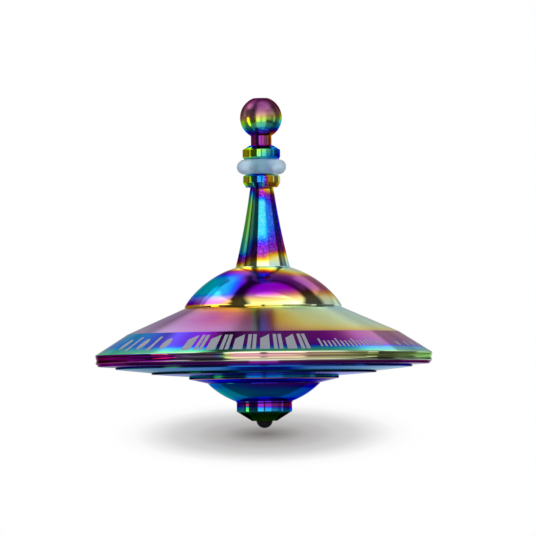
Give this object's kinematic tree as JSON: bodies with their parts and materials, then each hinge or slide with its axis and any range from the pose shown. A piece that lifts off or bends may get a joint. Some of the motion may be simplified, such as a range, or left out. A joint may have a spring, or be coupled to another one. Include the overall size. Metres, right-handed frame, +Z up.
{
  "type": "spinning top",
  "caption": "Finger-twirled metal spinning top in the form of a flying saucer: domed disc hull, flared stem with ball knob and soft grip ring, and a ball tip.",
  "frame": {"origin": "lowest point of the tip ball, where the top touches the table, on the spin axis", "axes": "+Z up along the spin axis, from the tip to the knob; +Y away from the viewer of the front view; the lean is about +Y"},
  "size_m": [0.048, 0.048, 0.047],
  "materials": {
    "black_ceramic": "polished black ceramic",
    "rainbow_holder": "polished rainbow PVD, dark teal to green",
    "rainbow_bowl": "polished rainbow PVD, dark navy to purple",
    "rainbow_rim": "polished rainbow PVD, maroon, purple and blue",
    "rainbow_cone": "rainbow PVD, satin mauve to olive on the slope, polished on the edge band",
    "rainbow_dome": "polished rainbow PVD, violet, blue and pink",
    "rainbow_stem": "polished rainbow PVD, blue, green and violet",
    "clear_silicone": "milky translucent silicone",
    "rainbow_knob": "polished rainbow PVD, plum, gold and teal"
  },
  "bodies": {
    "point": {"tip_ball": "black_ceramic"},
    "holder": {"tip_holder": "rainbow_holder"},
    "hull": {"keel_bowl": "rainbow_bowl", "lower_hull": "rainbow_rim", "upper_hull": "rainbow_cone", "dome_cap": "rainbow_dome", "stem": "rainbow_stem"},
    "ring": {"grip_ring": "clear_silicone"},
    "knob": {"finger_knob": "rainbow_knob"}
  },
  "joints": [
    {"name": "lean", "type": "hinge", "parent": "point", "child": "holder", "pos_m": [0, 0, 0.0012], "axis": [0, 1, 0], "range_deg": [-20.9, 20.9]},
    {"name": "spin", "type": "hinge", "parent": "holder", "child": "hull", "pos_m": [0, 0, 0.0012], "axis": [0, 0, 1], "continuous": true},
    {"name": "knob_turn", "type": "hinge", "parent": "hull", "child": "ring", "pos_m": [0, 0, 0.03615], "axis": [0, 0, 1], "range_deg": [0, 3601]},
    {"name": "knob_lift", "type": "slide", "parent": "ring", "child": "knob", "axis": [0, 0, 1], "range_m": [0, 0.004]}
  ],
  "couplings": [
    {"joint": "knob_turn", "follows": "knob_lift", "rad_per_m": 15708}
  ]
}
